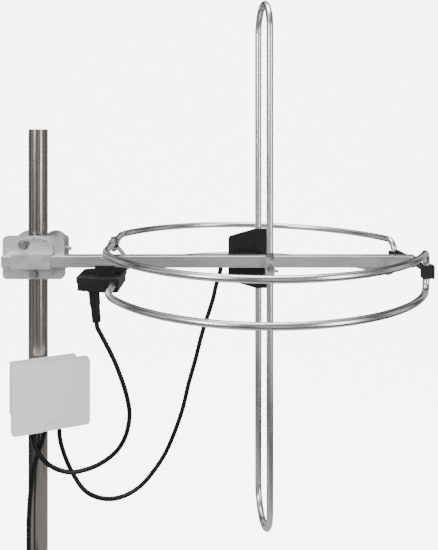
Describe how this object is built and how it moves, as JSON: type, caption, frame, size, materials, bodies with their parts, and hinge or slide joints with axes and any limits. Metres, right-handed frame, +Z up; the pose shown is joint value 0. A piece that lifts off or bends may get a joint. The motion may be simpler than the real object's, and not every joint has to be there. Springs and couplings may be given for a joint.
{
  "type": "radio antenna",
  "caption": "Mast-mounted radio antenna with a horizontal ring dipole, an upright folded dipole, a tilting clamp and a mast box with leads.",
  "frame": {"origin": "centre of the mast's lower end, at the foot of the mast tube", "axes": "+Z up the mast, +X along the boom towards the ring, +Y behind the boom"},
  "size_m": [0.6388, 0.4905, 1.044],
  "materials": {
    "mast_steel": "satin",
    "zinc": "satin",
    "bolt_steel": "satin",
    "boom_aluminium": "satin",
    "rod_aluminium": "polished",
    "black_plastic": "matte",
    "black_clip": "matte",
    "rubber": "satin",
    "grey_plastic": "satin",
    "circuit_board": "satin",
    "shield_tin": "satin",
    "brass": "satin",
    "plug_nickel": "satin",
    "lead_jacket": "satin"
  },
  "bodies": {
    "mast": {"mast_tube": "mast_steel"},
    "head": {"clamp_body": "zinc", "jaw_bolts": "bolt_steel", "earth_screw": "bolt_steel", "pivot_bolt": "bolt_steel", "slot_bolt": "bolt_steel", "box_base": "grey_plastic", "box_bracket": "bolt_steel", "bracket_screw": "bolt_steel", "box_board": "circuit_board", "box_shield": "shield_tin", "box_sockets": "brass", "box_plugs": "plug_nickel", "fm_lead": "lead_jacket", "dab_lead": "lead_jacket", "downlead": "lead_jacket", "downlead_coil": "lead_jacket", "downlead_plug": "plug_nickel", "coil_tie": "black_clip"},
    "jaw": {"clamp_jaw": "zinc", "jaw_nuts": "bolt_steel"},
    "boom": {"boom_tube": "boom_aluminium", "boom_cap": "black_clip", "boom_saddle": "zinc", "end_bracket": "black_clip", "end_clips": "black_clip", "ring_front_half": "rod_aluminium", "ring_rear_half": "rod_aluminium", "ring_bracket": "zinc", "ring_screw": "bolt_steel", "joint_spacer": "black_clip", "fm_box_body": "black_plastic", "fm_box_lid": "black_plastic", "fm_box_screws": "bolt_steel", "fm_board": "circuit_board", "fm_terminals": "brass", "fm_strain_relief": "rubber", "dab_box_body": "black_plastic", "dab_box_lid": "black_plastic", "dab_box_screws": "bolt_steel", "dab_board": "circuit_board", "dab_terminals": "brass", "dab_strain_relief": "rubber", "dab_upper_loop": "rod_aluminium", "dab_lower_loop": "rod_aluminium", "dab_bolt": "bolt_steel", "dab_nuts": "bolt_steel"},
    "wing_nut": {"wing_nut": "bolt_steel"},
    "cover": {"box_cover": "grey_plastic", "cover_pins": "bolt_steel"}
  },
  "joints": [
    {"name": "mast_turn", "type": "hinge", "parent": "mast", "child": "head", "pos_m": [0, 0, 0.65], "axis": [0, 0, 1], "continuous": true},
    {"name": "boom_tilt", "type": "hinge", "parent": "head", "child": "boom", "pos_m": [0.002, -0.033, 0.6293], "axis": [0, -1, 0], "range_deg": [0, 44]},
    {"name": "jaw_open", "type": "slide", "parent": "head", "child": "jaw", "axis": [0, 1, 0], "range_m": [0, 0.012]},
    {"name": "wing_nut_turn", "type": "hinge", "parent": "boom", "child": "wing_nut", "pos_m": [0.36056, -0.1, 0.65], "axis": [0, -1, 0], "continuous": true},
    {"name": "cover_swing", "type": "hinge", "parent": "head", "child": "cover", "pos_m": [0.01606, -0.03444, 0.492], "axis": [-0.9063, -0.4226, 0], "range_deg": [0, 90]}
  ]
}
